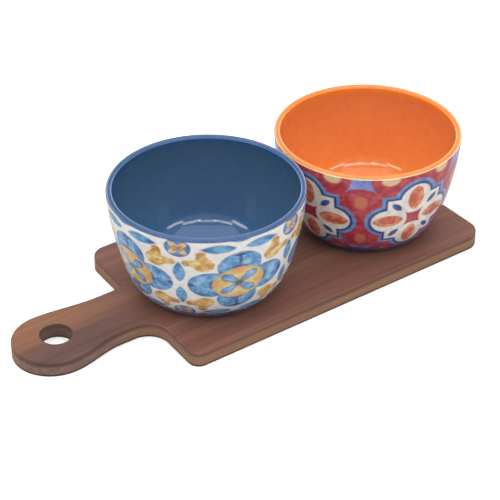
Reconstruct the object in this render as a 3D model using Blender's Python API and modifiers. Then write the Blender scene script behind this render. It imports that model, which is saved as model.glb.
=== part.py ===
"""Chip and dip server: a paddle board of solid wood that carries two loose glazed dip bowls.

Metres, +Z up. The origin is on the underside of the board, halfway along its whole length and on
its centre line. The handle points towards -X. Each bowl stands on the board under its own weight
and lifts straight off it, so each bowl's origin is on the vertical line through its middle.
"""
import math

import bmesh
import bpy

MM = 0.001

# Board
BOARD_LENGTH = 306.0 * MM
BOARD_WIDTH = 128.4 * MM
BOARD_THICKNESS = 9.7 * MM
HANDLE_LENGTH = 82.0 * MM          # from the handle's tip to the front shoulder
SHOULDER_SKEW = 0.056              # the shoulder end is cut about 3 degrees out of square
TOP_ROUNDOVER = 3.0 * MM
BOTTOM_ROUNDOVER = 1.0 * MM
ROUNDOVER_SEGMENTS = 4
RIGHT_CORNER_RADIUS = 12.0 * MM
FRONT_SHOULDER_RADIUS = 7.0 * MM
BACK_SHOULDER_RADIUS = 11.0 * MM
FRONT_NECK_FILLET = 14.0 * MM      # the front of the neck sweeps into the body
BACK_NECK_FILLET = 1.5 * MM        # the back of the neck meets the body in a tight corner

# Handle
NECK_HALF_WIDTH_FRONT = 18.6 * MM
NECK_HALF_WIDTH_BACK = 20.2 * MM
BULB_HALF_WIDTH = 24.6 * MM
BULB_FROM_TIP = 25.0 * MM          # widest point of the handle, measured from its tip
FRONT_NECK_FROM_TIP = 60.0 * MM    # where the flare starts, measured from the tip
BACK_NECK_FROM_TIP = 68.0 * MM
HOLE_RADIUS = 9.9 * MM
HOLE_FROM_TIP = 28.3 * MM
HOLE_BEHIND_AXIS = 2.2 * MM        # the hole is drilled a little behind the centre line
HOLE_STEPS = 40

# Bowls
BLUE_RIM_RADIUS = 60.0 * MM
BLUE_HEIGHT = 68.3 * MM
ORANGE_RIM_RADIUS = 58.7 * MM
ORANGE_HEIGHT = 66.4 * MM
WALL = 4.2 * MM
FLARE = 13.9 * MM                  # how far the wall leans in from rim to base
BELLY = 6.0 * MM                   # the extra tuck close to the foot
INNER_FLARE = 13.4 * MM
INNER_BELLY = 9.0 * MM
FOOT_INSET = 20.0 * MM             # how far the foot stands inside the rim
FOOT_WIDTH = 4.2 * MM
FOOT_RECESS = 1.6 * MM
WALL_START = 1.2 * MM              # height at which the outer wall leaves the foot
FLOOR_HEIGHT = 6.0 * MM            # top of the inner floor above the foot
FLOOR_RADIUS = 30.0 * MM
FLOOR_BLEND = 1.2 * MM             # height over which the floor turns up into the wall
WALL_POINTS = 8
LIP_POINTS = 6
TURN_STEPS = 64

STANDING_GAP = 0.3 * MM
BLUE_BOWL_FROM_SHOULDER = (50.8 * MM, -4.4 * MM)
ORANGE_BOWL_FROM_SHOULDER = (171.4 * MM, -7.9 * MM)

TIP_X = -BOARD_LENGTH / 2
SHOULDER_X = TIP_X + HANDLE_LENGTH
RIGHT_X = BOARD_LENGTH / 2
HALF_WIDTH = BOARD_WIDTH / 2
HANDLE_HOLE_X = TIP_X + HOLE_FROM_TIP


def clear_scene():
    """Take away whatever the scene holds."""
    for item in list(bpy.data.objects):
        bpy.data.objects.remove(item, do_unlink=True)


def new_collection(name):
    """Return a new collection linked to the scene."""
    collection = bpy.data.collections.new(name)
    bpy.context.scene.collection.children.link(collection)
    return collection


def make_material(name, colour, roughness):
    """Return a Principled material of one colour."""
    material = bpy.data.materials.new(name)
    material.use_nodes = True
    shader = material.node_tree.nodes["Principled BSDF"]
    shader.inputs["Base Color"].default_value = (*colour, 1.0)
    shader.inputs["Roughness"].default_value = roughness
    shader.inputs["Metallic"].default_value = 0.0
    return material


def shoulder_x(y):
    """Return where the slightly skewed shoulder end lies at the width position y."""
    return SHOULDER_X + SHOULDER_SKEW * (y + HALF_WIDTH)


def rounded_corner(before, corner, after, radius, steps=8):
    """Return the points of the arc that rounds one corner of an outline."""
    arms = []
    for point in (before, after):
        dx, dy = point[0] - corner[0], point[1] - corner[1]
        length = math.hypot(dx, dy)
        arms.append((dx / length, dy / length))
    (ax, ay), (bx, by) = arms
    half = math.acos(ax * bx + ay * by) / 2
    reach = radius / math.tan(half)
    middle = (ax + bx, ay + by)
    scale = radius / math.sin(half) / math.hypot(*middle)
    centre = (corner[0] + middle[0] * scale, corner[1] + middle[1] * scale)
    start = (corner[0] + ax * reach - centre[0], corner[1] + ay * reach - centre[1])
    end = (corner[0] + bx * reach - centre[0], corner[1] + by * reach - centre[1])
    first = math.atan2(start[1], start[0])
    sweep = math.atan2(end[1], end[0]) - first
    sweep = (sweep + math.pi) % (2 * math.pi) - math.pi
    points = []
    for step in range(steps + 1):
        angle = first + sweep * step / steps
        points.append((centre[0] + radius * math.cos(angle), centre[1] + radius * math.sin(angle)))
    return points


def flare(start, end, steps=10):
    """Return a smooth run between two points that leaves and arrives level."""
    points = []
    for step in range(steps + 1):
        t = step / steps
        ease = (1 - math.cos(math.pi * t)) / 2
        points.append((start[0] + (end[0] - start[0]) * t, start[1] + (end[1] - start[1]) * ease))
    return points


def handle_outline():
    """Return the handle from the back of the neck, round the tip, to the front of the neck."""
    bulb_x = TIP_X + BULB_FROM_TIP
    back = flare((TIP_X + BACK_NECK_FROM_TIP, NECK_HALF_WIDTH_BACK), (bulb_x, BULB_HALF_WIDTH))
    tip = []
    steps = 20
    for step in range(1, steps):
        angle = math.pi * step / steps
        tip.append((bulb_x - BULB_FROM_TIP * math.sin(angle), BULB_HALF_WIDTH * math.cos(angle)))
    front = flare((bulb_x, -BULB_HALF_WIDTH), (TIP_X + FRONT_NECK_FROM_TIP, -NECK_HALF_WIDTH_FRONT))
    return back + tip + front


def board_outline():
    """Return the outline of the board, anticlockwise from its front shoulder corner."""
    front_shoulder = (shoulder_x(-HALF_WIDTH), -HALF_WIDTH)
    front_right = (RIGHT_X, -HALF_WIDTH)
    back_right = (RIGHT_X, HALF_WIDTH)
    back_shoulder = (shoulder_x(HALF_WIDTH), HALF_WIDTH)
    back_neck = (shoulder_x(NECK_HALF_WIDTH_BACK), NECK_HALF_WIDTH_BACK)
    front_neck = (shoulder_x(-NECK_HALF_WIDTH_FRONT), -NECK_HALF_WIDTH_FRONT)
    handle = handle_outline()
    points = rounded_corner(front_neck, front_shoulder, front_right, FRONT_SHOULDER_RADIUS)
    points += rounded_corner(front_shoulder, front_right, back_right, RIGHT_CORNER_RADIUS)
    points += rounded_corner(front_right, back_right, back_shoulder, RIGHT_CORNER_RADIUS)
    points += rounded_corner(back_right, back_shoulder, back_neck, BACK_SHOULDER_RADIUS)
    points += rounded_corner(back_shoulder, back_neck, handle[0], BACK_NECK_FILLET, steps=4)
    points += handle
    points += rounded_corner(handle[-1], front_neck, front_shoulder, FRONT_NECK_FILLET)
    return points


def slab_from_outline(name, points, thickness):
    """Return a mesh object of the given thickness, standing on Z = 0, from a closed flat outline."""
    curve = bpy.data.curves.new(name + "_outline", "CURVE")
    curve.dimensions = "2D"
    curve.fill_mode = "BOTH"
    curve.extrude = thickness / 2
    spline = curve.splines.new("POLY")
    spline.points.add(len(points) - 1)
    for point, (x, y) in zip(spline.points, points):
        point.co = (x, y, 0.0, 1.0)
    spline.use_cyclic_u = True
    outline = bpy.data.objects.new(name + "_outline", curve)
    outline.location.z = thickness / 2
    bpy.context.scene.collection.objects.link(outline)
    bpy.context.view_layer.update()
    evaluated = outline.evaluated_get(bpy.context.evaluated_depsgraph_get())
    mesh = bpy.data.meshes.new_from_object(evaluated)
    mesh.name = name
    slab = bpy.data.objects.new(name, mesh)
    slab.matrix_world = outline.matrix_world.copy()
    bpy.data.objects.remove(outline, do_unlink=True)

    shape = bmesh.new()
    shape.from_mesh(mesh)
    bmesh.ops.remove_doubles(shape, verts=shape.verts, dist=0.01 * MM)
    bmesh.ops.dissolve_limit(shape, angle_limit=math.radians(0.1), verts=shape.verts, edges=shape.edges)
    bmesh.ops.recalc_face_normals(shape, faces=shape.faces)
    shape.to_mesh(mesh)
    shape.free()
    return slab


def weigh_rim_edges(mesh, thickness, top_weight, bottom_weight):
    """Give the top and bottom edges of a slab the share of the bevel width that each takes."""
    weights = mesh.attributes.new("bevel_weight_edge", "FLOAT", "EDGE")
    for edge in mesh.edges:
        heights = [mesh.vertices[index].co.z for index in edge.vertices]
        if abs(heights[0] - heights[1]) > thickness / 2:
            continue
        weights.data[edge.index].value = top_weight if heights[0] > 0 else bottom_weight


def make_board(parts, cutters):
    """Build the paddle board with its rounded edges and its hanging hole."""
    board = slab_from_outline("board", board_outline(), BOARD_THICKNESS)
    parts.objects.link(board)
    board.data.materials.clear()
    board.data.materials.append(make_material("oiled_acacia", (0.200, 0.094, 0.068), 0.55))
    weigh_rim_edges(board.data, BOARD_THICKNESS, 1.0, BOTTOM_ROUNDOVER / TOP_ROUNDOVER)
    rounding = board.modifiers.new("rounded_edges", "BEVEL")
    rounding.limit_method = "WEIGHT"
    rounding.width = TOP_ROUNDOVER
    rounding.segments = ROUNDOVER_SEGMENTS

    bpy.ops.mesh.primitive_cylinder_add(
        vertices=HOLE_STEPS, radius=HOLE_RADIUS, depth=3 * BOARD_THICKNESS,
        location=(HANDLE_HOLE_X, HOLE_BEHIND_AXIS, BOARD_THICKNESS / 2))
    drill = bpy.context.object
    drill.name = "hanging_hole_drill"
    drill.hide_render = True
    drill.display_type = "WIRE"
    for holder in list(drill.users_collection):
        holder.objects.unlink(drill)
    cutters.objects.link(drill)
    hole = board.modifiers.new("hanging_hole", "BOOLEAN")
    hole.operation = "DIFFERENCE"
    hole.solver = "EXACT"
    hole.object = drill


def wall_radius(rim, lean, belly, rise):
    """Return the radius of a wall that leans in by lean, with an extra tuck of belly at its base.

    rise runs from 0 at the base of the wall to 1 at the rim.
    """
    fall = 1 - rise
    return rim - lean * fall ** 1.6 - belly * fall ** 9


def bowl_profile(rim_radius, bowl_height):
    """Return a bowl's section from the middle of its inner floor, over the lip, to its foot."""
    lip_radius = WALL / 2
    lip_height = bowl_height - lip_radius
    profile = [(0.0, FLOOR_HEIGHT), (FLOOR_RADIUS * 0.5, FLOOR_HEIGHT), (FLOOR_RADIUS, FLOOR_HEIGHT)]
    inner_start = FLOOR_HEIGHT + FLOOR_BLEND
    for step in range(WALL_POINTS):
        rise = (step / WALL_POINTS) ** 1.8
        radius = wall_radius(rim_radius - WALL, INNER_FLARE, INNER_BELLY, rise)
        profile.append((radius, inner_start + (lip_height - inner_start) * rise))
    for step in range(LIP_POINTS + 1):
        angle = math.pi * (1 - step / LIP_POINTS)
        profile.append((rim_radius - lip_radius + lip_radius * math.cos(angle),
                        lip_height + lip_radius * math.sin(angle)))
    for step in range(1, WALL_POINTS + 1):
        rise = (1 - step / WALL_POINTS) ** 1.8
        height = WALL_START + (lip_height - WALL_START) * rise
        profile.append((wall_radius(rim_radius, FLARE, BELLY, height / bowl_height), height))
    foot_radius = rim_radius - FOOT_INSET
    profile.append((foot_radius, 0.0))
    profile.append((foot_radius - FOOT_WIDTH, 0.0))
    profile.append((foot_radius - FOOT_WIDTH - FOOT_RECESS, FOOT_RECESS))
    profile.append((0.0, FOOT_RECESS))
    return profile


def make_bowl(parts, name, rim_radius, bowl_height, from_shoulder, colour):
    """Build one turned bowl standing on the board."""
    points = bowl_profile(rim_radius, bowl_height)
    edges = [(index, index + 1) for index in range(len(points) - 1)]
    mesh = bpy.data.meshes.new(name)
    mesh.from_pydata([(radius, 0.0, height) for radius, height in points], edges, [])
    mesh.materials.append(make_material(name + "_glaze", colour, 0.15))
    bowl = bpy.data.objects.new(name, mesh)
    bowl.location = (SHOULDER_X + from_shoulder[0], from_shoulder[1], BOARD_THICKNESS + STANDING_GAP)
    parts.objects.link(bowl)
    turning = bowl.modifiers.new("turning", "SCREW")
    turning.axis = "Z"
    turning.angle = 2 * math.pi
    turning.steps = TURN_STEPS
    turning.render_steps = TURN_STEPS
    turning.use_merge_vertices = True
    turning.merge_threshold = 0.01 * MM
    turning.use_smooth_shade = True


def main():
    """Build the board and its two bowls."""
    clear_scene()
    parts = new_collection("chip_and_dip_server")
    cutters = new_collection("cutters")
    make_board(parts, cutters)
    make_bowl(parts, "blue_bowl", BLUE_RIM_RADIUS, BLUE_HEIGHT, BLUE_BOWL_FROM_SHOULDER,
              (0.060, 0.150, 0.300))
    make_bowl(parts, "orange_bowl", ORANGE_RIM_RADIUS, ORANGE_HEIGHT, ORANGE_BOWL_FROM_SHOULDER,
              (0.750, 0.170, 0.035))


main()
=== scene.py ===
"""Looks of a chip and dip server: an oiled acacia paddle board with two glazed stoneware dip bowls.

Every size is in metres in the part's own frame: +Z up, the board's underside on Z = 0, the handle
towards -X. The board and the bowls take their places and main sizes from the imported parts.
"""

import logging
import math
from collections.abc import Callable
from dataclasses import dataclass, field
from enum import Enum
from functools import partial

import bmesh
import bpy
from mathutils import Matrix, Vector


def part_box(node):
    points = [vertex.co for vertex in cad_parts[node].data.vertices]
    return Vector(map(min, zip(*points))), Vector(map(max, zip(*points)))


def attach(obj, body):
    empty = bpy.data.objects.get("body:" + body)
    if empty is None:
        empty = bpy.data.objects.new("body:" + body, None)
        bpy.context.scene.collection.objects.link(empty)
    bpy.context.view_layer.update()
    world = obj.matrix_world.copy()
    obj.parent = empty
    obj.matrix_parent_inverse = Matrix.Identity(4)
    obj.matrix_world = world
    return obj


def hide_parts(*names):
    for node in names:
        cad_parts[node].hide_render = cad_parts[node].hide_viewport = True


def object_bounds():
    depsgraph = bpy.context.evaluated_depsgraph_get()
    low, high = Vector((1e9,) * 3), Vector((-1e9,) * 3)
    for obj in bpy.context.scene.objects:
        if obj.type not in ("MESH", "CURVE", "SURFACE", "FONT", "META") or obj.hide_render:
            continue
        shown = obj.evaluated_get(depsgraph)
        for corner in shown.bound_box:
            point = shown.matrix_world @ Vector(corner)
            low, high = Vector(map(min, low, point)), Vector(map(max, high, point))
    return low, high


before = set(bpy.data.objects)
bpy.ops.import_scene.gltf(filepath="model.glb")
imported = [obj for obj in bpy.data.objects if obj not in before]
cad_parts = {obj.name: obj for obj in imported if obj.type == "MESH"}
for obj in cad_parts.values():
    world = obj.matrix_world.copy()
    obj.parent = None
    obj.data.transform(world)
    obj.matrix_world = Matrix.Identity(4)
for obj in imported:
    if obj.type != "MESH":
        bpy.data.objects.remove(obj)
CAD_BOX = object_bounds()

MM = 0.001
LOG = logging.getLogger("chip_and_dip_server")


# ------------------------------------------------------------------ helpers


def linear(hex_colour: str) -> tuple[float, float, float, float]:
    """Turn an sRGB hex colour into linear values.

    Args:
        hex_colour: six hex digits, such as "c8a064".

    Returns:
        The linear red, green and blue with an alpha of one.
    """
    channels = []
    for start in (0, 2, 4):
        value = int(hex_colour[start:start + 2], 16) / 255
        channels.append(value / 12.92 if value <= 0.04045 else ((value + 0.055) / 1.055) ** 2.4)
    return (channels[0], channels[1], channels[2], 1.0)


Colour = bpy.types.NodeSocket | str | list[tuple[float, str]]
NodeAdder = Callable[..., bpy.types.NodeSocket | list[bpy.types.NodeSocket]]


def set_inputs(node: bpy.types.Node, inputs: dict[int | str, object]) -> None:
    """Link an output socket to each named or numbered input, or set its value."""
    for key, value in inputs.items():
        if isinstance(value, bpy.types.NodeSocket):
            node.id_data.links.new(value, node.inputs[key])
        else:
            node.inputs[key].default_value = value


def add_node(
    tree: bpy.types.NodeTree,
    kind: str,
    inputs: dict | list | None = None,
    out: int | str | None = 0,
    stops: list[tuple[float, str]] | None = None,
    **settings: object,
) -> bpy.types.NodeSocket | list[bpy.types.NodeSocket]:
    """Add one node with its settings, its input values and its links.

    Args:
        tree: the node tree that takes the node.
        kind: the node's type name.
        inputs: an output socket to link from or a value to set, for each input by its name or
            number, or in order.
        out: the number or name of the output to hand back, or None for all of them.
        stops: a colour ramp's positions from 0 to 1 and sRGB hex colours, in rising order.
        settings: properties of the node, set before its inputs.

    Returns:
        The chosen output, or every output in order.
    """
    node = tree.nodes.new(kind)
    for name, value in settings.items():
        setattr(node, name, value)
    for place, (position, colour) in enumerate(stops or ()):
        elements = node.color_ramp.elements
        element = elements[place] if place < 2 else elements.new(position)
        element.position, element.color = position, linear(colour)
    set_inputs(node, dict(enumerate(inputs)) if isinstance(inputs, list) else inputs or {})
    return list(node.outputs) if out is None else node.outputs[out]


def new_material(name: str) -> tuple[bpy.types.Material, NodeAdder, bpy.types.Node]:
    """Start a node material.

    Args:
        name: the finish's common name.

    Returns:
        The material, the function that adds nodes to it and its Principled shader.
    """
    material = bpy.data.materials.new(name)
    material.use_nodes = True
    tree = material.node_tree
    return material, partial(add_node, tree), tree.nodes["Principled BSDF"]


def mesh_from_evaluated(source: bpy.types.Object, name: str) -> bpy.types.Object:
    """Turn an object's evaluated shape into a plain mesh object and remove the source.

    Args:
        source: an object whose modifiers or curve settings make the shape.
        name: the new piece's name.

    Returns:
        The plain mesh object, unturned at the origin.
    """
    bpy.context.view_layer.update()
    graph = bpy.context.evaluated_depsgraph_get()
    mesh = bpy.data.meshes.new_from_object(source.evaluated_get(graph), depsgraph=graph,
                                           preserve_all_data_layers=True)
    mesh.transform(source.matrix_world)
    mesh.name = name
    bpy.data.objects.remove(source, do_unlink=True)
    piece = bpy.data.objects.new(name, mesh)
    bpy.context.scene.collection.objects.link(piece)
    return piece


# ------------------------------------------------------------------ painted tile work


@dataclass
class TilePainter:
    """Paints flat motifs, one over the other, on a repeating square tile.

    The tile runs from 0 at its middle to 1 at its edge both ways and is mirrored about its middle,
    its edges and its diagonals, as block-printed tiles are. A motif is drawn once, in the wedge
    where the first coordinate is the larger.
    """

    node: NodeAdder
    ground: str
    rim: float
    wobble: float = 0.022
    softness: float = 0.016
    larger: bpy.types.NodeSocket = field(init=False)
    upright: bpy.types.NodeSocket = field(init=False)
    wedge: bpy.types.NodeSocket = field(init=False)
    height: bpy.types.NodeSocket = field(init=False)
    wash: bpy.types.NodeSocket = field(init=False)
    colour: bpy.types.NodeSocket | tuple[float, ...] = field(init=False)

    def __post_init__(self) -> None:
        """Read the tile map, let the painter's hand wander a little, and fold the tile."""
        node = self.node
        uv = node("ShaderNodeUVMap", uv_map="tile_map")
        hand = node("ShaderNodeTexNoise", {"Vector": uv, "Scale": 2.6, "Detail": 2.0}, out="Color")
        drift = node("ShaderNodeVectorMath", [hand, (0.5,) * 3], operation="SUBTRACT")
        flat = node("ShaderNodeVectorMath", [drift, (self.wobble,) * 3, uv], operation="MULTIPLY_ADD")
        across, up = [node("ShaderNodeMath", [part, 1.0], operation="PINGPONG")
                      for part in node("ShaderNodeSeparateXYZ", [flat], out=None)[:2]]
        self.larger, smaller = [node("ShaderNodeMath", [across, up], operation=pick)
                                for pick in ("MAXIMUM", "MINIMUM")]
        lead = node("ShaderNodeMath", [up, across], operation="SUBTRACT")
        self.upright = node("ShaderNodeMapRange", {"Value": lead, "From Min": -0.04, "From Max": 0.04})
        self.wedge = node("ShaderNodeCombineXYZ", [self.larger, smaller])
        self.height = node("ShaderNodeSeparateXYZ", [uv], out=1)
        self.wash = node("ShaderNodeTexNoise",
                         {"Vector": flat, "Scale": 5.5, "Detail": 4.0, "Roughness": 0.62})
        self.colour = linear(self.ground)

    def local(self, centre: tuple[float, float], half: tuple[float, float],
              turn: float = 0.0) -> list[bpy.types.NodeSocket]:
        """Return the wedge's coordinates measured from a motif's centre in its half sizes.

        Args:
            centre: the motif's centre on the tile.
            half: the motif's half length and half width.
            turn: how far the motif is turned, in degrees.
        """
        place = self.node("ShaderNodeMapping",
                          {"Vector": self.wedge, "Location": (*centre, 0.0),
                           "Rotation": (0.0, 0.0, math.radians(turn)), "Scale": (*half, 1.0)},
                          vector_type="TEXTURE")
        return self.node("ShaderNodeSeparateXYZ", [place], out=None)[:2]

    def petal(self, centre: tuple[float, float], half: tuple[float, float],
              turn: float = 0.0, fullness: float = 2.0) -> bpy.types.NodeSocket:
        """Return the distance to an oval or a leaf, negative inside, in tile units.

        Args:
            centre: the shape's centre.
            half: its half length and half width.
            turn: its turn in degrees.
            fullness: 2 for an oval and 1 for a leaf with two sharp ends.
        """
        node, scale = self.node, half[1] / fullness
        along, aside = self.local(centre, half, turn)
        side = node("ShaderNodeMath", [aside], operation="ABSOLUTE")
        width = node("ShaderNodeMath", [side, fullness], operation="POWER")
        bow = node("ShaderNodeMath", [along, along, width], operation="MULTIPLY_ADD")
        return node("ShaderNodeMath", [bow, scale, -scale], operation="MULTIPLY_ADD")

    def star(self, centre: tuple[float, float], reach: float, fullness: float) -> bpy.types.NodeSocket:
        """Return the distance to a four-pointed star whose points lie on the tile's diagonals.

        Args:
            centre: the star's centre.
            reach: how far its points reach.
            fullness: below 1; the smaller, the thinner its points.
        """
        node, scale = self.node, reach * 0.5
        sizes = [node("ShaderNodeMath", [part], operation="ABSOLUTE")
                 for part in self.local(centre, (reach, reach), 45.0)]
        powers = [node("ShaderNodeMath", [size, fullness], operation="POWER") for size in sizes]
        total = node("ShaderNodeMath", powers, operation="ADD")
        return node("ShaderNodeMath", [total, scale, -scale], operation="MULTIPLY_ADD")

    def block(self, half: float) -> bpy.types.NodeSocket:
        """Return the distance to a square of the given half side about the tile's middle."""
        return self.node("ShaderNodeMath", [self.larger, half], operation="SUBTRACT")

    def joined(self, *shapes: bpy.types.NodeSocket) -> bpy.types.NodeSocket:
        """Return the distance to several shapes taken as one."""
        total = shapes[0]
        for shape in shapes[1:]:
            total = self.node("ShaderNodeMath", [total, shape], operation="MINIMUM")
        return total

    def band(self, start: float, end: float) -> bpy.types.NodeSocket:
        """Return a share that runs from 0 at the start height up the print to 1 at the end."""
        return self.node("ShaderNodeMapRange",
                         {"Value": self.height, "From Min": start, "From Max": end})

    def mask(self, shape: bpy.types.NodeSocket, inset: float = 0.0,
             softness: float | None = None) -> bpy.types.NodeSocket:
        """Return 1 inside a shape and 0 outside it, with a soft brush edge between.

        Args:
            shape: the distance to the shape.
            inset: how far inside the shape the masked area starts.
            softness: half the width of the soft edge, or None for the painter's own.
        """
        soft = self.softness if softness is None else softness
        return self.node("ShaderNodeMapRange",
                         {"Value": shape, "From Min": soft - inset, "From Max": -soft - inset},
                         interpolation_type="SMOOTHSTEP")

    def cover(self, mask: bpy.types.NodeSocket, colour: Colour,
              strength: float | bpy.types.NodeSocket = 1.0) -> None:
        """Lay a colour over what is painted so far.

        Args:
            mask: where the colour goes.
            colour: an sRGB hex colour, a colour socket, or a watery wash's positions from 0 to 1
                and hex colours.
            strength: how much of the colour covers, as a value or a socket.
        """
        if isinstance(colour, list):
            colour = self.node("ShaderNodeValToRGB", [self.wash], stops=colour)
        elif isinstance(colour, str):
            colour = linear(colour)
        share = self.node("ShaderNodeMath", [mask, strength], operation="MULTIPLY")
        self.colour = self.node("ShaderNodeMix", {"Factor": share, 6: self.colour, 7: colour},
                                out=2, data_type="RGBA")

    def paint(self, shape: bpy.types.NodeSocket, colour: Colour,
              strength: float | bpy.types.NodeSocket = 1.0, inset: float = 0.0,
              softness: float | None = None) -> None:
        """Paint the inside of a shape.

        Args:
            shape: the distance to the shape.
            colour: the colour, as for cover.
            strength: how much of it covers.
            inset: how far inside the shape the paint starts.
            softness: half the width of its soft edge, or None for the painter's own.
        """
        self.cover(self.mask(shape, inset, softness), colour, strength)

    def hem(self, shape: bpy.types.NodeSocket, colour: Colour, strength: float,
            softness: float, inset: float, fade: float) -> None:
        """Paint the edge of a shape, as pigment that gathers where a brush stroke ends.

        Args:
            shape: the distance to the shape.
            colour: the colour, as for cover.
            strength: how much of it covers.
            softness: half the width of the outer soft edge.
            inset: how far inside the shape the hem ends.
            fade: half the width over which it ends.
        """
        ring = [self.mask(shape, 0.0, softness), self.mask(shape, inset, fade)]
        self.cover(self.node("ShaderNodeMath", ring, operation="SUBTRACT"), colour, strength)

    def finish_edges(self, rim_line: str, foot_shade: str, foot: float) -> None:
        """Paint the thin line under the lip, and the painted shade that darkens the print at the foot.

        Args:
            rim_line: the line's colour.
            foot_shade: the band's colour.
            foot: the height where the band has its full colour.
        """
        # Both foot bands are painted shade; the narrow strong one is also a painted reflection of the
        # dark board under the bowl.
        for start, end, colour, strength in ((self.rim + 0.002, self.rim + 0.012, rim_line, 0.9),
                                             (foot + 0.70, foot, foot_shade, 0.35),
                                             (foot + 0.16, foot, foot_shade, 0.9)):
            self.cover(self.band(start, end), colour, strength)


def paint_blue_blossom(node: NodeAdder, rim: float) -> bpy.types.NodeSocket:
    """Paint four-lobed blue blossoms, ochre discs and leaves on an off-white ground.

    Args:
        node: adds a node to the material.
        rim: the height of the bowl's rim on the tile map.

    Returns:
        The painted colour.
    """
    tile = TilePainter(node, "e9e5dd", rim)
    tile.paint(tile.block(2.0), [(0.38, "e2e0de"), (0.62, "f4efe6")], 0.6)

    lobe = tile.petal((0.485, 0.0), (0.385, 0.375))
    tile.paint(lobe, [(0.38, "5087bb"), (0.5, "70a7d4"), (0.62, "a0c8e2")])
    tile.hem(lobe, [(0.35, "3f5f96"), (0.65, "6f98cf")], 0.62, 0.02, 0.085, 0.075)
    flat = node("ShaderNodeMath", [1.0, tile.upright], operation="SUBTRACT")
    for centre, half, where in (((0.67, 0.0), (0.15, 0.030), tile.upright),
                                ((0.795, 0.0), (0.030, 0.10), tile.upright),
                                ((0.82, 0.0), (0.045, 0.050), flat)):
        tile.paint(tile.petal(centre, half), "39497c", where, softness=0.03)

    disc = tile.petal((0.0, 0.0), (0.46, 0.46))
    tile.paint(tile.petal((0.47, 0.0), (0.05, 0.13)), "4c3f66", 0.7, softness=0.03)
    tile.paint(disc, [(0.38, "d4b162"), (0.5, "dec984"), (0.62, "e4d9a8")])
    tile.hem(disc, "c08a48", 0.45, 0.012, 0.05, 0.04)
    tile.paint(tile.petal((0.36, 0.0), (0.10, 0.15)), "e38a58", 0.45, softness=0.07)
    cross = tile.joined(tile.petal((0.150, 0.150), (0.165, 0.066), 45.0),
                        tile.petal((0.200, 0.200), (0.110, 0.094), 45.0))
    tile.paint(cross, "35568a", 0.7, inset=-0.014)
    tile.paint(cross, [(0.40, "6094d6"), (0.60, "98c0ee")], inset=0.012)
    tile.paint(tile.petal((0.0, 0.0), (0.075, 0.075)), "3f6076", 0.9, softness=0.035)
    tile.paint(tile.petal((0.262, 0.262), (0.035, 0.060), 45.0), "36618c", 0.45, softness=0.03)

    tile.paint(tile.petal((1.0, 0.35), (0.275, 0.105), 90.0, 1.25),
               [(0.40, "4883b9"), (0.60, "7aafd6")])
    tile.paint(tile.petal((1.0, 0.555), (0.09, 0.035), 90.0), "3a5684", 0.6, softness=0.025)

    below_rim = tile.band(1.06, 1.01)
    trefoil = tile.joined(tile.petal((0.595, 0.595), (0.178, 0.178)),
                          tile.petal((0.735, 0.620), (0.140, 0.105), 8.0),
                          tile.petal((0.855, 0.630), (0.092, 0.088)))
    tile.paint(trefoil, [(0.38, "b8843f"), (0.47, "d2a45f"), (0.54, "dfb976"), (0.62, "ead4a6")],
               below_rim)
    bud_share = node("ShaderNodeMath", [below_rim, 0.6], operation="MULTIPLY")
    tile.paint(tile.petal((0.890, 0.630), (0.055, 0.070)), "a8743c", bud_share, softness=0.045)

    flower = tile.petal((1.0, 1.0), (0.215, 0.215))
    tile.paint(flower, [(0.4, "355a92"), (0.6, "5f8cc8")])
    tile.paint(flower, "7aa6dc", 0.5, inset=0.045, softness=0.03)
    tile.paint(tile.petal((0.925, 0.925), (0.082, 0.052), 45.0), [(0.4, "dba24c"), (0.6, "f0cf84")])
    tile.paint(tile.petal((0.962, 0.962), (0.040, 0.022), 45.0), "8d4b34", 0.75, softness=0.02)
    # The last two values give the colour and the height of the painted shade at the foot.
    tile.finish_edges("f2efe8", "41547a", -1.18)
    return tile.colour


def paint_red_quatrefoil(node: NodeAdder, rim: float) -> bpy.types.NodeSocket:
    """Paint barbed quatrefoils in white, navy and sky blue on a red ground.

    Args:
        node: adds a node to the material.
        rim: the height of the bowl's rim on the tile map.

    Returns:
        The painted colour.
    """
    tile = TilePainter(node, "b03a45", rim, wobble=0.016)
    tile.paint(tile.block(2.0), [(0.40, "9e2c3b"), (0.5, "b43c47"), (0.62, "c6525a")], 0.85)
    tile.paint(tile.star((1.0, 1.0), 0.42, 0.54), [(0.4, "6a7fc0"), (0.6, "90a3dc")])
    dot_colour = node("ShaderNodeMix",
                      {"Factor": tile.upright, 6: linear("cc7655"), 7: linear("dfc79a")},
                      out=2, data_type="RGBA")
    tile.paint(tile.petal((1.0, 0.505), (0.112, 0.155)), dot_colour, 0.9, softness=0.035)

    foil = tile.joined(tile.petal((0.515, 0.0), (0.415, 0.415)), tile.block(0.635))
    tile.paint(foil, [(0.4, "577fb8"), (0.6, "7e9dcd")])
    tile.paint(foil, [(0.4, "23336a"), (0.6, "384a88")], inset=0.062)
    tile.paint(foil, [(0.4, "dcd7ce"), (0.6, "f0ebe0")], inset=0.105)

    tile.paint(tile.petal((0.49, 0.0), (0.285, 0.155), fullness=1.6),
               [(0.40, "c15b40"), (0.5, "d67756"), (0.60, "e2a280")])
    tile.paint(tile.petal((0.49, 0.0), (0.19, 0.075), fullness=1.6), "c9583c", 0.4, softness=0.03)
    tile.paint(tile.petal((0.355, 0.355), (0.130, 0.062), 45.0, 1.5),
               [(0.40, "2f3a78"), (0.60, "545fa4")])
    tile.paint(tile.star((0.0, 0.0), 0.285, 0.645), [(0.4, "a43044"), (0.6, "c04a58")])
    # The last two values give the colour and the height of the painted shade at the foot.
    tile.finish_edges("f6dcb8", "49466e", -0.97)
    return tile.colour


class TileDesign(Enum):
    """The two tile-work designs that the bowls carry outside."""

    BLUE_BLOSSOM = "blue_blossom"
    RED_QUATREFOIL = "red_quatrefoil"


# ------------------------------------------------------------------ finishes


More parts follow.
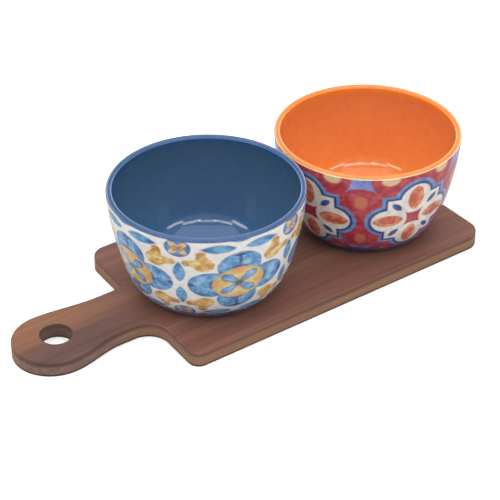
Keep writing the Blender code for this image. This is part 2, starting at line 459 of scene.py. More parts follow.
@dataclass(frozen=True)
class FiredSurface:
    """The glassy skin of a fired glaze: a faint mottle and the slow ripple left by draining."""

    mottle: float
    mottle_detail: float
    mottle_contrast: float
    darkest: float
    ripple: float
    ripple_strength: float
    ripple_depth: float
    roughness: float
    ior: float = 1.52

    def cover(self, node: NodeAdder, shader: bpy.types.Node, colour: bpy.types.NodeSocket) -> None:
        """Give a shader this skin.

        Args:
            node: adds a node to the material.
            shader: its Principled shader.
            colour: the glaze's colour.
        """
        place = node("ShaderNodeTexCoord", out="Object")
        mottle = node("ShaderNodeTexNoise",
                      {"Vector": place, "Scale": 1 / self.mottle, "Detail": self.mottle_detail,
                       "Roughness": self.mottle_contrast})
        light = node("ShaderNodeMapRange", {"Value": mottle, "From Min": 0.3, "From Max": 0.7,
                                            "To Min": self.darkest, "To Max": 1.05})
        shaded = node("ShaderNodeHueSaturation", {"Value": light, "Color": colour})
        wave = node("ShaderNodeTexNoise", {"Vector": place, "Scale": 1 / self.ripple, "Detail": 1.0})
        bump = node("ShaderNodeBump", {"Height": wave, "Strength": self.ripple_strength,
                                       "Distance": self.ripple_depth})
        set_inputs(shader, {"Base Color": shaded, "Normal": bump, "Roughness": self.roughness,
                            "IOR": self.ior})


@dataclass(frozen=True)
class ClearGlaze:
    """Coloured glaze fired on stoneware, dipped and drained.

    A fired glaze is glass: smooth, fully glossy, with a slow ripple left by the draining. It pools
    deeper in colour low on the wall. The upper wall and the lip take darker tones as painted shade.
    """

    name: str
    # lip and high are darker than wall: painted shade on the lip and the upper inner wall. pool is the
    # deeper tone of pooled glaze.
    lip: str
    high: str
    wall: str
    pool: str
    surface: FiredSurface = FiredSurface(5 * MM, 5.0, 0.6, 0.95, 9 * MM, 0.25, 0.6 * MM, 0.07)

    def material(self, rim_height: float, floor_height: float) -> bpy.types.Material:
        """Build the glaze.

        Args:
            rim_height: the height of the bowl's rim.
            floor_height: the height of its inner floor.
        """
        material, node, shader = new_material(self.name)
        place = node("ShaderNodeTexCoord", out="Object")
        height = node("ShaderNodeSeparateXYZ", [place], out=2)
        cloud = node("ShaderNodeTexNoise", {"Vector": place, "Scale": 1 / (22 * MM), "Detail": 3.0})
        wander = node("ShaderNodeMath", [cloud, 3.0 * MM, height], operation="MULTIPLY_ADD")
        rise = node("ShaderNodeMapRange", {"Value": wander, "From Min": floor_height,
                                           "From Max": rim_height + 1.5 * MM})
        # Painted shade: the tone darkens from the wall up the upper wall to the lip.
        tone = node("ShaderNodeValToRGB", [rise],
                    stops=[(0.0, self.pool), (0.30, self.wall), (0.90, self.high),
                           (0.985, self.lip)])
        self.surface.cover(node, shader, tone)
        return material


@dataclass(frozen=True)
class PrintedGlaze:
    """Tile decoration printed and hand-touched under a clear gloss glaze.

    The colours sit under glass, so they are as glossy as the ground, and their edges have bled a
    little in the firing.
    """

    name: str
    design: TileDesign
    rim: float
    surface: FiredSurface = FiredSurface(2.2 * MM, 4.0, 0.7, 0.94, 8 * MM, 0.2, 0.5 * MM, 0.08)

    def material(self) -> bpy.types.Material:
        """Build the decorated glaze."""
        material, node, shader = new_material(self.name)
        painters = {TileDesign.BLUE_BLOSSOM: paint_blue_blossom,
                    TileDesign.RED_QUATREFOIL: paint_red_quatrefoil}
        self.surface.cover(node, shader, painters[self.design](node, self.rim))
        return material


@dataclass(frozen=True)
class BareClay:
    """Unglazed stoneware of the foot ring, wiped clean before firing.

    Bare fired clay is dull and slightly gritty, buff with fine dark iron specks.
    """

    name: str = "unglazed_stoneware"
    speck: str = "8d7458"
    clay: str = "cdbfa8"
    pale: str = "dccfb9"
    grit: float = 0.7 * MM

    def material(self) -> bpy.types.Material:
        """Build the bare clay."""
        material, node, shader = new_material(self.name)
        place = node("ShaderNodeTexCoord", out="Object")
        grit = node("ShaderNodeTexNoise", {"Vector": place, "Scale": 1 / self.grit, "Detail": 3.0})
        colour = node("ShaderNodeValToRGB", [grit],
                      stops=[(0.28, self.speck), (0.42, self.clay), (0.8, self.pale)])
        bump = node("ShaderNodeBump", {"Height": grit, "Strength": 0.4, "Distance": 0.1 * MM})
        set_inputs(shader, {"Base Color": colour, "Normal": bump, "Roughness": 0.75})
        return material


@dataclass(frozen=True)
class OiledAcacia:
    """Acacia planed, sanded and wiped with food-safe oil.

    The oil gives a low satin sheen. The grain runs along the board: soft annual bands, finer
    streaks, short open pores, and a paler band of wood along the back of the handle. A greyer
    band on the upper rounded edge and a dark line along the bottom edge are painted shade, and the
    lighter sides between them are painted light. The wall of the bore is darker and greyer.
    """

    name: str = "oiled_acacia"
    band_width: float = 9.0 * MM
    streak_width: float = 1.6 * MM
    pore_width: float = 0.45 * MM
    heart: tuple[str, ...] = ("67443d", "775045", "81594b", "916c59")
    pale: tuple[str, ...] = ("724b3a", "7f5742", "90664f")
    dull: tuple[str, ...] = ("4f3833", "60443d", "715349")

    def share(self, node: NodeAdder, length: bpy.types.NodeSocket, start: float,
              end: float, most: float = 1.0) -> bpy.types.NodeSocket:
        """Return a share that eases from 0 to its most as a length runs from start to end, in mm."""
        return node("ShaderNodeMapRange",
                    {"Value": length, "From Min": start * MM, "From Max": end * MM,
                     "To Max": most}, interpolation_type="SMOOTHSTEP")

    def fibres(self, node: NodeAdder, place: bpy.types.NodeSocket,
               scale: tuple[float, float, float], detail: float, contrast: float = 0.5,
               out: int = 0) -> bpy.types.NodeSocket:
        """Return a noise drawn out along the grain.

        Args:
            node: adds a node to the material.
            place: the place in the wood.
            scale: how many of its marks go in a metre each way.
            detail: how many finer layers it has.
            contrast: how strong the finer layers are.
            out: 0 for a value and 1 for a colour.
        """
        drawn = node("ShaderNodeMapping", {"Vector": place, "Scale": scale})
        return node("ShaderNodeTexNoise",
                    {"Vector": drawn, "Scale": 1.0, "Detail": detail, "Roughness": contrast}, out=out)

    def blend(self, node: NodeAdder, share: bpy.types.NodeSocket, below: bpy.types.NodeSocket | str,
              above: bpy.types.NodeSocket | str) -> bpy.types.NodeSocket:
        """Return one colour, as a socket or sRGB hex, blended by a share into another."""
        first, second = [linear(tone) if isinstance(tone, str) else tone for tone in (below, above)]
        return node("ShaderNodeMix", {"Factor": share, 6: first, 7: second}, out=2, data_type="RGBA")

    def material(self, bore: tuple[float, float], bore_radius: float) -> bpy.types.Material:
        """Build the wood.

        Args:
            bore: the middle of the hanging hole, whose wall is coloured darker and greyer.
            bore_radius: the hole's radius.
        """
        material, node, shader = new_material(self.name)
        place = node("ShaderNodeTexCoord", out="Object")
        bend = self.fibres(node, place, (7.0, 22.0, 22.0), 2.0, out=1)
        offset = node("ShaderNodeVectorMath", [bend, (0.5,) * 3], operation="SUBTRACT")
        grain = node("ShaderNodeVectorMath", [offset, (0.0, 14 * MM, 6 * MM), place],
                     operation="MULTIPLY_ADD")
        bands = self.fibres(node, grain, (4.0, 1 / self.band_width, 60.0), 3.0, 0.55)
        streaks = self.fibres(node, grain, (11.0, *(1 / self.streak_width,) * 2), 4.0, 0.6)
        pores = self.fibres(node, grain, (120.0, *(1 / self.pore_width,) * 2), 2.0)

        tone = node("ShaderNodeMath", [streaks, 0.35], operation="MULTIPLY")
        tone = node("ShaderNodeMath", [bands, 0.65, tone], operation="MULTIPLY_ADD")
        heart, pale, dull = [
            node("ShaderNodeValToRGB", [tone], stops=list(zip(places, tones)))
            for places, tones in (((0.30, 0.44, 0.57, 0.72), self.heart),
                                  ((0.30, 0.50, 0.70), self.pale), ((0.30, 0.50, 0.70), self.dull))]
        along, across, _ = node("ShaderNodeSeparateXYZ", [grain], out=None)
        slope = node("ShaderNodeMath", [along, -0.055, across], operation="MULTIPLY_ADD")
        ends = self.share(node, along, -60.0, -110.0)
        handle = self.blend(node, self.share(node, slope, -1.0, 11.0), dull, pale)
        wood = self.blend(node, ends, heart, handle)

        level = node("ShaderNodeSeparateXYZ", [place], out=2)
        from_bore = node("ShaderNodeMapping", {"Vector": place, "Location": (-bore[0], -bore[1], 0.0),
                                               "Scale": (1.0, 1.0, 0.0)})
        reach = node("ShaderNodeVectorMath", [from_bore], out=1, operation="LENGTH")
        open_pore = node("ShaderNodeMapRange", {"Value": pores, "From Min": 0.36, "From Max": 0.28},
                         interpolation_type="SMOOTHSTEP")
        # Painted shade: a greyer dark band on the upper rounded edge. Painted light: lighter sides
        # below it, lighter where the streaks run.
        pore_share, roundover_shade, sides = [
            node("ShaderNodeMath", pair, operation="MULTIPLY") for pair in (
                [open_pore, 0.35],
                [self.share(node, level, 9.6, 8.8, 0.33), self.share(node, level, 6.6, 7.6)],
                [self.share(node, level, 7.8, 5.6, 0.9), streaks])]
        rim = bore_radius / MM
        # The dark line along the bottom edge is painted shade; the bore's wall is made darker and
        # greyer.
        for share, colour in ((pore_share, "4a302a"),
                              (sides, self.blend(node, ends, "aa8867", "a3857a")),
                              (roundover_shade, "5c4c46"),
                              (self.share(node, level, 1.8, 0.8, 0.8), "33241f"),
                              (self.share(node, reach, rim + 0.7, rim + 0.1, 0.55), "5a4a46")):
            wood = self.blend(node, share, wood, colour)

        relief = node("ShaderNodeMath", [open_pore, -1.0, streaks], operation="MULTIPLY_ADD")
        bump = node("ShaderNodeBump", {"Height": relief, "Strength": 0.35, "Distance": 0.12 * MM})
        sheen = node("ShaderNodeMapRange",
                     {"Value": streaks, "From Min": 0.3, "From Max": 0.7, "To Min": 0.46,
                      "To Max": 0.62})
        set_inputs(shader, {"Base Color": wood, "Normal": bump, "Roughness": sheen, "IOR": 1.47,
                            "Specular IOR Level": 0.18})
        return material


# ------------------------------------------------------------------ the board


@dataclass
class PaddleBoard:
    """The paddle board: a plank with a waisted handle, a hanging hole and rounded-over edges."""

    node: str = "board"
    handle_length: float = 82.0 * MM
    shoulder_skew: float = 0.056
    top_roundover: float = 3.0 * MM
    bottom_roundover: float = 1.0 * MM
    hole_easing: float = 0.7 * MM
    right_corner: float = 12.0 * MM
    front_shoulder_corner: float = 7.0 * MM
    back_shoulder_corner: float = 11.0 * MM
    front_neck_fillet: float = 14.0 * MM
    back_neck_fillet: float = 1.5 * MM
    neck_half_front: float = 18.6 * MM
    neck_half_back: float = 20.2 * MM
    bulb_half: float = 24.6 * MM
    bulb_from_tip: float = 25.0 * MM
    front_neck_from_tip: float = 60.0 * MM
    back_neck_from_tip: float = 68.0 * MM
    hole_radius: float = 9.9 * MM
    hole_from_tip: float = 28.3 * MM
    hole_behind_axis: float = 2.2 * MM
    arc_step: float = math.radians(5.0)
    low: Vector = field(init=False)
    high: Vector = field(init=False)
    bore: tuple[float, float] = field(init=False)

    def __post_init__(self) -> None:
        """Take the board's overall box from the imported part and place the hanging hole."""
        self.low, self.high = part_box(self.node)
        self.bore = (self.low.x + self.hole_from_tip, self.hole_behind_axis)

    def shoulder_x(self, y: float) -> float:
        """Return where the skewed shoulder end lies at a place y across the board."""
        return self.low.x + self.handle_length + self.shoulder_skew * (y - self.low.y)

    def rounded_corner(self, before: tuple[float, float], corner: tuple[float, float],
                       after: tuple[float, float], radius: float) -> list[tuple[float, float]]:
        """Return the points of the arc that rounds one corner.

        Args:
            before: the outline point before the corner.
            corner: the corner itself.
            after: the outline point after it.
            radius: the arc's radius.
        """
        arms = [(Vector(point) - Vector(corner)).normalized() for point in (before, after)]
        half = arms[0].angle(arms[1]) / 2
        centre = Vector(corner) + (arms[0] + arms[1]).normalized() * (radius / math.sin(half))
        reach = radius / math.tan(half)
        start, end = [Vector(corner) + arm * reach - centre for arm in arms]
        first = math.atan2(start.y, start.x)
        sweep = (math.atan2(end.y, end.x) - first + math.pi) % math.tau - math.pi
        steps = max(4, math.ceil(abs(sweep) / self.arc_step))
        return [(centre.x + radius * math.cos(first + sweep * step / steps),
                 centre.y + radius * math.sin(first + sweep * step / steps))
                for step in range(steps + 1)]

    def flare(self, start: tuple[float, float], end: tuple[float, float],
              steps: int = 24) -> list[tuple[float, float]]:
        """Return a smooth run between two points that leaves and arrives level.

        Args:
            start: the first point.
            end: the last point.
            steps: how many stretches it has.
        """
        points = []
        for step in range(steps + 1):
            t = step / steps
            ease = (1 - math.cos(math.pi * t)) / 2
            points.append((start[0] + (end[0] - start[0]) * t, start[1] + (end[1] - start[1]) * ease))
        return points

    def outline(self) -> list[tuple[float, float]]:
        """Return the board's outline, anticlockwise from the front shoulder corner."""
        tip = self.low.x
        bulb_x = tip + self.bulb_from_tip
        end_steps = round(math.pi / self.arc_step)
        handle = self.flare((tip + self.back_neck_from_tip, self.neck_half_back),
                            (bulb_x, self.bulb_half))
        for step in range(1, end_steps):
            angle = math.pi * step / end_steps
            handle.append((bulb_x - self.bulb_from_tip * math.sin(angle),
                           self.bulb_half * math.cos(angle)))
        handle += self.flare((bulb_x, -self.bulb_half),
                             (tip + self.front_neck_from_tip, -self.neck_half_front))
        front_neck, front_shoulder, back_shoulder, back_neck = [
            (self.shoulder_x(y), y) for y in (-self.neck_half_front, self.low.y, self.high.y,
                                              self.neck_half_back)]
        corners = [front_neck, front_shoulder, (self.high.x, self.low.y),
                   (self.high.x, self.high.y), back_shoulder, back_neck, handle[0]]
        radii = (self.front_shoulder_corner, self.right_corner, self.right_corner,
                 self.back_shoulder_corner, self.back_neck_fillet)
        points = []
        for before, corner, after, radius in zip(corners, corners[1:], corners[2:], radii):
            points += self.rounded_corner(before, corner, after, radius)
        return points + handle + self.rounded_corner(handle[-1], front_neck, front_shoulder,
                                                     self.front_neck_fillet)

    def hole(self) -> list[tuple[float, float]]:
        """Return the outline of the hanging hole."""
        steps = 72
        return [(self.bore[0] + self.hole_radius * math.cos(math.tau * step / steps),
                 self.bore[1] + self.hole_radius * math.sin(math.tau * step / steps))
                for step in range(steps)]

    def build(self) -> bpy.types.Object:
        """Build the board's mesh.

        Returns:
            The finished piece, undressed.
        """
        thickness = self.high.z - self.low.z
        curve = bpy.data.curves.new("board_outline", "CURVE")
        curve.dimensions = "2D"
        curve.fill_mode = "BOTH"
        curve.extrude = thickness / 2
        for outline in (self.outline(), self.hole()):
            spline = curve.splines.new("POLY")
            spline.points.add(len(outline) - 1)
            for point, (x, y) in zip(spline.points, outline):
                point.co = (x, y, 0.0, 1.0)
            spline.use_cyclic_u = True
        source = bpy.data.objects.new("board_outline", curve)
        bpy.context.scene.collection.objects.link(source)
        source.location.z = self.low.z + thickness / 2
        board = mesh_from_evaluated(source, "paddle_board")
        self.weigh_edges(board.data)
        self.round_edges(board)
        return board

    def weigh_edges(self, mesh: bpy.types.Mesh) -> None:
        """Clean the slab and give each rim edge its share of the rounding.

        Args:
            mesh: the slab's mesh.
        """
        shape = bmesh.new()
        shape.from_mesh(mesh)
        bmesh.ops.remove_doubles(shape, verts=shape.verts, dist=0.01 * MM)
        bmesh.ops.dissolve_limit(shape, angle_limit=math.radians(0.1), verts=shape.verts,
                                 edges=shape.edges)
        bmesh.ops.recalc_face_normals(shape, faces=shape.faces)
        shape.to_mesh(mesh)
        shape.free()
        middle = (self.low.z + self.high.z) / 2
        weights = mesh.attributes.new("bevel_weight_edge", "FLOAT", "EDGE")
        wall_pairs = {}
        for polygon in mesh.polygons:
            level = abs(polygon.normal.z) > 0.5
            for key in polygon.edge_keys:
                wall_pairs.setdefault(key, []).append(level)
        for edge in mesh.edges:
            if sorted(wall_pairs[edge.key]) != [False, True]:
                continue
            place = mesh.vertices[edge.vertices[0]].co
            if math.dist(place[:2], self.bore) < self.hole_radius * 1.05:
                share = self.hole_easing
            elif place.z > middle:
                share = self.top_roundover
            else:
                share = self.bottom_roundover
            weights.data[edge.index].value = share / self.top_roundover

    def round_edges(self, board: bpy.types.Object) -> None:
        """Round the slab's weighed edges and keep its flat faces flat in shading."""
        rounding = board.modifiers.new("rounded_edges", "BEVEL")
        rounding.limit_method = "WEIGHT"
        rounding.width = self.top_roundover
        rounding.segments = 8
        board.data.shade_smooth()
        flats = board.modifiers.new("flat_faces", "WEIGHTED_NORMAL")
        flats.weight = 100
        flats.keep_sharp = True

    def dress(self, board: bpy.types.Object, finish: OiledAcacia) -> None:
        """Give the board its wood and tie it to its part."""
        board.data.materials.clear()
        board.data.materials.append(finish.material(self.bore, self.hole_radius))
        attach(board, "board")
        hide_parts(self.node)


# ------------------------------------------------------------------ the bowls


def lathe_tree() -> bpy.types.NodeTree:
    """Build the tree that turns a section about an upright axis.

    The section is a row of points whose X is the radius and Z the height. Each point carries
    `tile_rise`, its place up the tile pattern, and `skin`, the number of the skin it belongs to.

    Returns:
        The tree, with inputs named Section, Axis, Turn Steps, Tiles Round, Tile Phase and the three
        finishes.
    """
    tree = bpy.data.node_groups.new("turned_bowl", "GeometryNodeTree")
    for name, kind in (("Section", "Geometry"), ("Axis", "Vector"), ("Turn Steps", "Int"),
                       ("Tiles Round", "Float"), ("Tile Phase", "Float"),
                       ("Inner Glaze", "Material"), ("Decorated Glaze", "Material"),
                       ("Bare Foot", "Material")):
        tree.interface.new_socket(name, in_out="INPUT", socket_type="NodeSocket" + kind)
    tree.interface.new_socket("Geometry", in_out="OUTPUT", socket_type="NodeSocketGeometry")
    node = partial(add_node, tree)
    given = {socket.name: socket for socket in node("NodeGroupInput", out=None)}
    section, steps = given["Section"], given["Turn Steps"]

    rows = node("GeometryNodeAttributeDomainSize", {"Geometry": section},
                out="Point Count", component="MESH")
    columns = node("ShaderNodeMath", [steps, 1.0], operation="ADD")
    grid = node("GeometryNodeMeshGrid",
                {"Size X": 1.0, "Size Y": 1.0, "Vertices X": columns, "Vertices Y": rows})
    index = node("GeometryNodeInputIndex")
    share = node("ShaderNodeMath", [index, rows], operation="DIVIDE")
    column = node("ShaderNodeMath", [share], operation="FLOOR")
    row = node("ShaderNodeMath", [index, rows], operation="MODULO")
    turn = node("ShaderNodeMath", [column, steps], operation="DIVIDE")
    angle = node("ShaderNodeMath", [turn, math.tau], operation="MULTIPLY")
    position = node("GeometryNodeInputPosition")
    named = {name: node("GeometryNodeInputNamedAttribute", {"Name": name},
                        data_type="FLOAT") for name in ("tile_rise", "skin")}
    place, tile_rise, row_skin = [
        node("GeometryNodeSampleIndex",
             {"Geometry": section, "Value": value, "Index": row}, data_type=kind, domain="POINT")
        for value, kind in ((position, "FLOAT_VECTOR"), (named["tile_rise"], "FLOAT"),
                            (named["skin"], "FLOAT"))]
    turned = node("ShaderNodeVectorRotate", {"Vector": place, "Angle": angle}, rotation_type="Z_AXIS")
    centred = node("ShaderNodeVectorMath", [turned, given["Axis"]], operation="ADD")
    round_place = node("ShaderNodeMath", [turn, given["Tiles Round"], given["Tile Phase"]],
                       operation="MULTIPLY_ADD")
    point_place = node("ShaderNodeCombineXYZ", [round_place, tile_rise])
    tile_place = node("GeometryNodeFieldOnDomain", [point_place],
                      data_type="FLOAT_VECTOR", domain="POINT")

    solid = grid
    for name, value, kind, domain in (("tile_map", tile_place, "FLOAT2", "CORNER"),
                                      ("skin", row_skin, "FLOAT", "POINT")):
        solid = node("GeometryNodeStoreNamedAttribute",
                     {"Geometry": solid, "Name": name, "Value": value}, data_type=kind, domain=domain)
    for kind, inputs in (("SetPosition", {"Position": centred}),
                         ("MergeByDistance", {"Distance": 0.001 * MM}),
                         ("SetShadeSmooth", {}), ("RealizeInstances", {})):
        solid = node("GeometryNode" + kind, {"Geometry": solid, **inputs})
    for limit, name in ((-1.0, "Inner Glaze"), (0.5, "Decorated Glaze"), (1.5, "Bare Foot")):
        chosen = node("FunctionNodeCompare", {"A": named["skin"], "B": limit},
                      data_type="FLOAT", operation="GREATER_THAN")
        solid = node("GeometryNodeSetMaterial",
                     {"Geometry": solid, "Selection": chosen, "Material": given[name]})
    node("NodeGroupOutput", [solid], out=None)
    return tree


@dataclass
class DipBowl:
    """One turned dip bowl: glazed inside and over the lip, decorated outside, bare on its foot."""

    name: str
    node: str
    glaze: ClearGlaze
    decoration: PrintedGlaze
    slot: str
    tile_phase: float
    tile_aspect: float
    print_reach: float
    wall: float = 4.2 * MM
    lean: float = 13.9 * MM
    lean_curve: float = 1.6
    belly: float = 6.0 * MM
    belly_curve: float = 9.0
    inner_lean: float = 13.4 * MM
    inner_belly: float = 9.0 * MM
    foot_inset: float = 20.0 * MM
    foot_width: float = 4.2 * MM
    foot_recess: float = 1.6 * MM
    wall_start: float = 1.2 * MM
    floor_height: float = 6.0 * MM
    floor_radius: float = 30.0 * MM
    floor_blend: float = 1.2 * MM
    tiles_round: int = 5
    wall_points: int = 48
    wall_spacing: float = 1.8
    lip_points: int = 16
    floor_points: int = 6
    turn_steps: int = 192
    low: Vector = field(init=False)
    high: Vector = field(init=False)
    height: float = field(init=False)
    rim_radius: float = field(init=False)
    foot_outer: float = field(init=False)
    foot_inner: float = field(init=False)

    def __post_init__(self) -> None:
        """Take the bowl's place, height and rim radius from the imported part."""
        self.low, self.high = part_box(self.node)
        self.height = self.high.z - self.low.z
        self.rim_radius = (self.high.x - self.low.x) / 2
        self.foot_outer = self.rim_radius - self.foot_inset
        self.foot_inner = self.foot_outer - self.foot_width

    def wall_radius(self, rim: float, lean: float, belly: float, rise: float) -> float:
        """Return the radius of a wall that leans in, with an extra tuck at its base.

        Args:
            rim: the radius at the rim.
            lean: how far the wall leans in from rim to base.
            belly: the extra tuck at the base.
            rise: the place up the wall, 0 at its base and 1 at its rim.
        """
        return rim - lean * (1 - rise) ** self.lean_curve - belly * (1 - rise) ** self.belly_curve

    def section(self) -> list[tuple[float, float, int]]:
        """Return the bowl's section as radius, height and skin number.

        The skins are 0 for the inner glaze, 1 for the decorated wall and 2 for the bare foot. It
        runs from the middle of the inner floor, over the lip and down to the middle underneath. The
        print starts a little way up the lip's outer side.
        """
        lip = self.wall / 2
        lip_height = self.height - lip
        inner = (self.rim_radius - self.wall, self.inner_lean, self.inner_belly)
        points = [(self.floor_radius * step / self.floor_points, self.floor_height, 0)
                  for step in range(self.floor_points + 1)]
        start = self.floor_height + self.floor_blend
        blend_width = self.wall_radius(*inner, 0.0) - self.floor_radius
        for step in range(1, self.floor_points):
            t = step / self.floor_points
            points.append((self.floor_radius + blend_width * t,
                           self.floor_height + self.floor_blend * t * t, 0))
        for step in range(self.wall_points):
            rise = (step / self.wall_points) ** self.wall_spacing
            points.append((self.wall_radius(*inner, rise), start + (lip_height - start) * rise, 0))
        for step in range(self.lip_points):
            angle = math.pi * (1 - step / self.lip_points)
            points.append((self.rim_radius - lip + lip * math.cos(angle),
                           lip_height + lip * math.sin(angle),
                           int(angle < math.radians(self.print_reach))))
        for step in range(self.wall_points + 1):
            rise = (1 - step / self.wall_points) ** self.wall_spacing
            height = self.wall_start + (lip_height - self.wall_start) * rise
            radius = self.wall_radius(self.rim_radius, self.lean, self.belly, height / self.height)
            points.append((radius, height, 1))
        easing_out, easing_in = (0.4 * MM, 0.3 * MM), (0.3 * MM, 0.2 * MM)
        return points + [(self.foot_outer + easing_out[0], easing_out[1], 1),
                         (self.foot_outer, 0.0, 2), (self.foot_inner, 0.0, 2),
                         (self.foot_inner - easing_in[0], easing_in[1], 2),
                         (self.foot_inner - self.foot_recess, self.foot_recess, 2),
                         (0.0, self.foot_recess, 2)]

    def tile_rises(self, points: list[tuple[float, float, int]]) -> list[float]:
        """Return each point's place up the tile pattern.

        The print keeps its shape as the wall narrows, so a step down the wall counts for more where
        the radius is smaller.

        Args:
            points: the section.
        """
        half_tile = math.pi / self.tiles_round * self.tile_aspect
        travel = [0.0]
        for (r0, z0, _), (r1, z1, _) in zip(points, points[1:]):
            radius = max((r0 + r1) / 2, self.foot_inner)
            travel.append(travel[-1] - math.hypot(r1 - r0, z1 - z0) / radius / half_tile)
        top = travel[max(range(len(points)), key=lambda index: points[index][0])]
        return [value - top + self.decoration.rim for value in travel]

    def build(self, tree: bpy.types.NodeTree) -> bpy.types.Object:
        """Turn the bowl.

        Args:
            tree: the lathe tree.

        Returns:
            The finished piece, dressed.
        """
        points = self.section()
        mesh = bpy.data.meshes.new(self.name + "_section")
        edges = [(index, index + 1) for index in range(len(points) - 1)]
        mesh.from_pydata([(radius, 0.0, height) for radius, height, _ in points], edges, [])
        rises = mesh.attributes.new("tile_rise", "FLOAT", "POINT")
        skins = mesh.attributes.new("skin", "FLOAT", "POINT")
        for index, (rise, point) in enumerate(zip(self.tile_rises(points), points)):
            rises.data[index].value = rise
            skins.data[index].value = point[2]
        source = bpy.data.objects.new(self.name + "_section", mesh)
        bpy.context.scene.collection.objects.link(source)
        lathe = source.modifiers.new("lathe", "NODES")
        lathe.node_group = tree
        middle = (self.low + self.high) / 2
        rim_height, floor = self.high.z, self.low.z + self.floor_height
        inputs = {"Axis": (middle.x, middle.y, self.low.z), "Turn Steps": self.turn_steps,
                  "Tiles Round": 2.0 * self.tiles_round, "Tile Phase": self.tile_phase,
                  "Inner Glaze": self.glaze.material(rim_height, floor),
                  "Decorated Glaze": self.decoration.material(),
                  "Bare Foot": BareClay().material()}
        sockets = {item.name: item.identifier for item in tree.interface.items_tree
                   if item.in_out == "INPUT"}
        for name, value in inputs.items():
            lathe[sockets[name]] = value
        return mesh_from_evaluated(source, self.name)

    def dress(self, bowl: bpy.types.Object) -> None:
        """Tie the bowl to its part."""
        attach(bowl, self.node)
        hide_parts(self.node)


# ------------------------------------------------------------------ the studio


@dataclass(frozen=True)
class SoftLight:
    """One soft light, placed by its turn from the camera and its rise above the floor in degrees."""

    name: str
    turn: float
    rise: float
    distance: float
    size: tuple[float, float]
    power: float
    fills: bool = True
    mirrored: bool = True


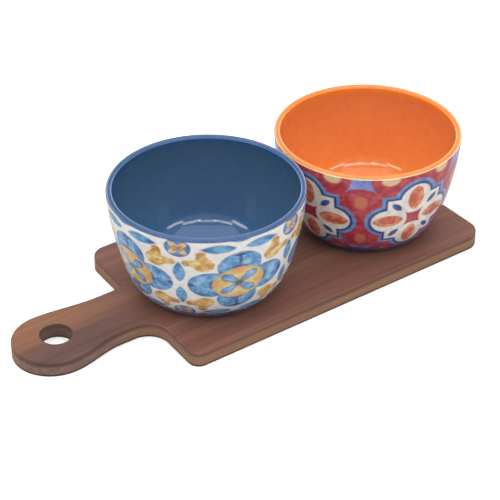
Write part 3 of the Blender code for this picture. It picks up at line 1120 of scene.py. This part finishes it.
@dataclass
class Studio:
    """A pale floor, soft lights, pale walls and a camera that looks down on the server.

    The walls are part of the world and show only in reflections, where they draw the bright line
    along each lip. The floor glows a little where it is seen, so that it stays plain.
    """

    air: float = 0.60
    mirrored_air: float = 0.75
    mirrored_wall: float = 2.8
    wall_top: float = 0.30
    wall_fade: float = 0.16
    floor_glow: float = 0.22
    azimuth: float = -36.05
    elevation: float = 34.26
    camera_place: tuple[float, float, float] = (-0.5431, -0.7669, 0.6608)
    lens: float = 132.42
    sensor: float = 36.0
    lights: tuple[SoftLight, ...] = (
        SoftLight("overhead_softbox", 180.0, 86.0, 1.2, (1.8, 1.8), 14.0),
        SoftLight("left_fill", -60.0, 35.0, 1.4, (1.0, 0.8), 4.5, mirrored=False),
        SoftLight("right_fill", 60.0, 35.0, 1.4, (1.0, 0.8), 4.5, mirrored=False),
        *(SoftLight(f"strip_{turn:+.0f}", turn, 46.0 - 0.0028 * turn ** 2, 1.5, (0.64, 0.13), power,
                    fills=False)
          for turn, power in ((-56.0, 1.7), (-28.0, 1.7), (0.0, 1.3), (28.0, 1.7), (56.0, 1.7))),
    )

    def floor(self) -> None:
        """Lay a wide matt floor just under the board."""
        bpy.ops.mesh.primitive_plane_add(size=8.0, location=(0.0, 0.0, CAD_BOX[0][2] - 0.05 * MM))
        floor = bpy.context.object
        floor.name = "studio_floor"
        material, node, shader = new_material("matt_paper")
        seen = node("ShaderNodeLightPath", out="Is Camera Ray")
        shade = node("ShaderNodeMix", {"Factor": seen, 6: linear("c8c8c8"), 7: linear("ffffff")},
                     out=2, data_type="RGBA")
        glow = node("ShaderNodeMapRange", {"Value": seen, "To Max": self.floor_glow})
        set_inputs(shader, {"Base Color": shade, "Emission Strength": glow, "Roughness": 0.9,
                            "Emission Color": linear("ffffff"), "Specular IOR Level": 0.1})
        floor.data.materials.append(material)

    def hang(self, light: SoftLight) -> None:
        """Hang one soft light that faces the server."""
        data = bpy.data.lights.new(light.name, "AREA")
        data.shape = "RECTANGLE"
        data.size, data.size_y = light.size
        data.energy = light.power
        lamp = bpy.data.objects.new(light.name, data)
        side, up = math.radians(self.azimuth + light.turn), math.radians(light.rise)
        toward = Vector((math.cos(up) * math.sin(side), -math.cos(up) * math.cos(side), math.sin(up)))
        lamp.location = toward * light.distance
        lamp.rotation_euler = toward.to_track_quat("Z", "Y").to_euler()
        lamp.visible_diffuse = light.fills
        lamp.visible_glossy = light.mirrored
        bpy.context.scene.collection.objects.link(lamp)

    def light(self) -> None:
        """Light the set from above and from each side, inside pale walls that the glaze mirrors."""
        world = bpy.context.scene.world or bpy.data.worlds.new("studio")
        bpy.context.scene.world = world
        world.use_nodes = True
        node, sky = partial(add_node, world.node_tree), world.node_tree.nodes["Background"]
        ray = node("ShaderNodeTexCoord", out="Generated")
        rise = node("ShaderNodeSeparateXYZ", [ray], out=2)
        wall = node("ShaderNodeMapRange",
                    {"Value": rise, "From Min": self.wall_top + self.wall_fade,
                     "From Max": self.wall_top, "To Min": self.mirrored_air,
                     "To Max": self.mirrored_wall}, interpolation_type="SMOOTHSTEP")
        mirrored = node("ShaderNodeLightPath", out="Is Glossy Ray")
        strength = node("ShaderNodeMapRange", {"Value": mirrored, "To Min": self.air, "To Max": wall})
        set_inputs(sky, {"Color": linear("ffffff"), "Strength": strength})
        for light in self.lights:
            self.hang(light)
        bpy.context.scene.view_settings.view_transform = "Standard"

    def camera(self) -> None:
        """Set up the camera."""
        data = bpy.data.cameras.new("studio_camera")
        data.lens = self.lens
        data.sensor_width = self.sensor
        camera = bpy.data.objects.new("studio_camera", data)
        camera.location = self.camera_place
        camera.rotation_euler = (math.radians(90 - self.elevation), 0.0, math.radians(self.azimuth))
        bpy.context.scene.collection.objects.link(camera)
        bpy.context.scene.camera = camera


# ------------------------------------------------------------------ the whole set


def clear_startup_objects() -> None:
    """Take away the cube, lamp and camera of an untouched startup file."""
    for name in ("Cube", "Light", "Camera"):
        item = bpy.data.objects.get(name)
        if item:
            bpy.data.objects.remove(item, do_unlink=True)


def report_sizes() -> None:
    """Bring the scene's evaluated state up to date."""
    bpy.context.view_layer.update()


def main() -> None:
    """Build the board, the bowls and the studio in order."""
    logging.basicConfig(level=logging.INFO, format="%(message)s")
    clear_startup_objects()
    board_maker = PaddleBoard()
    board = board_maker.build()
    board_maker.dress(board, OiledAcacia())
    LOG.info("%s: %d faces", board.name, len(board.data.polygons))

    lathe = lathe_tree()
    # Each inner glaze's lip and high tones are darker than its wall, as painted shade.
    bowls = (
        DipBowl(
            name="blue_dip_bowl", node="blue_bowl", slot="blue_glaze",
            glaze=ClearGlaze("blue_gloss_glaze", lip="224f80", high="3d5670", wall="4a698a",
                             pool="306a9e"),
            decoration=PrintedGlaze("blue_blossom_tile_print", TileDesign.BLUE_BLOSSOM, 1.17),
            tile_phase=0.925, tile_aspect=0.775, print_reach=12.0),
        DipBowl(
            name="orange_dip_bowl", node="orange_bowl", slot="orange_glaze",
            glaze=ClearGlaze("orange_gloss_glaze", lip="e68428", high="d47844", wall="e58b4c",
                             pool="ee8e18"),
            decoration=PrintedGlaze("red_quatrefoil_tile_print", TileDesign.RED_QUATREFOIL, 1.02),
            tile_phase=0.686, tile_aspect=0.92, print_reach=38.0),
    )
    for maker in bowls:
        bowl = maker.build(lathe)
        maker.dress(bowl)
        LOG.info("%s: %d faces", bowl.name, len(bowl.data.polygons))

    studio = Studio()
    studio.floor()
    studio.light()
    studio.camera()
    report_sizes()


if __name__ == "__main__":
    main()
